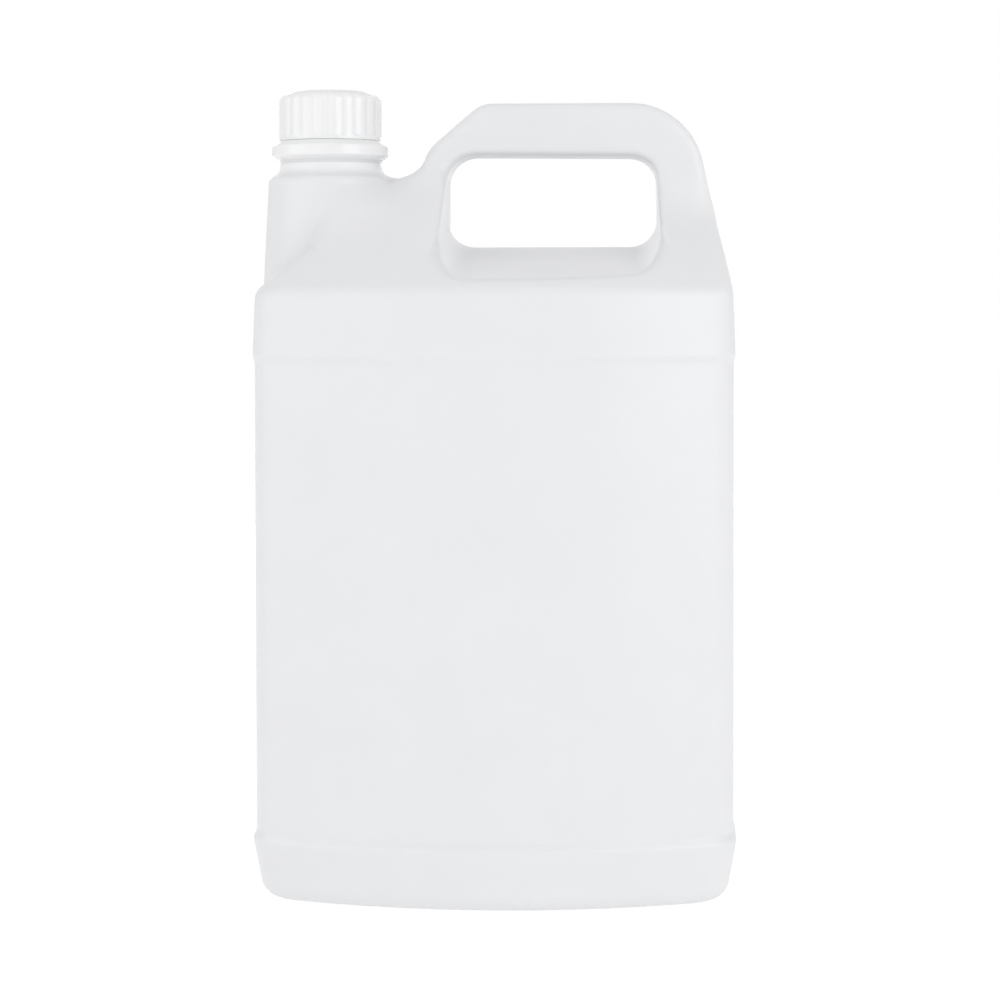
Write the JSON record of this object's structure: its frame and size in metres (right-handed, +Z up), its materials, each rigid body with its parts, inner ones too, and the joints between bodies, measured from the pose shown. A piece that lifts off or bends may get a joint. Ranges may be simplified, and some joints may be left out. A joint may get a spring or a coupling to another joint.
{
  "type": "plastic jug",
  "caption": "Blow-moulded plastic jug with a hollow grip handle over a sloping shoulder, an offset threaded neck, and a fluted screw cap with a tamper ring.",
  "frame": {"origin": "on the floor, under the middle of the body's footprint", "axes": "+Z up, +X towards the handle's outer leg with the neck at -X, -Y towards the front"},
  "size_m": [0.1816, 0.1354, 0.3027],
  "materials": {
    "natural_plastic": "satin, slightly translucent",
    "white_plastic": "satin",
    "liner_foam": "matte foam"
  },
  "bodies": {
    "jug": {"jug_body": "natural_plastic", "tamper_ring": "white_plastic"},
    "cap_lifter": {"cap_liner": "liner_foam"},
    "cap": {"screw_cap": "white_plastic"}
  },
  "joints": [
    {"name": "cap_lift", "type": "slide", "parent": "jug", "child": "cap_lifter", "axis": [0, 0, 1], "range_m": [0, 0.00602]},
    {"name": "cap_turn", "type": "hinge", "parent": "cap_lifter", "child": "cap", "pos_m": [-0.0642, 0, 0.2935], "axis": [0, 0, 1], "range_deg": [0, 540]}
  ],
  "couplings": [
    {"joint": "cap_lift", "follows": "cap_turn", "m_per_rad": 0.00063662}
  ]
}
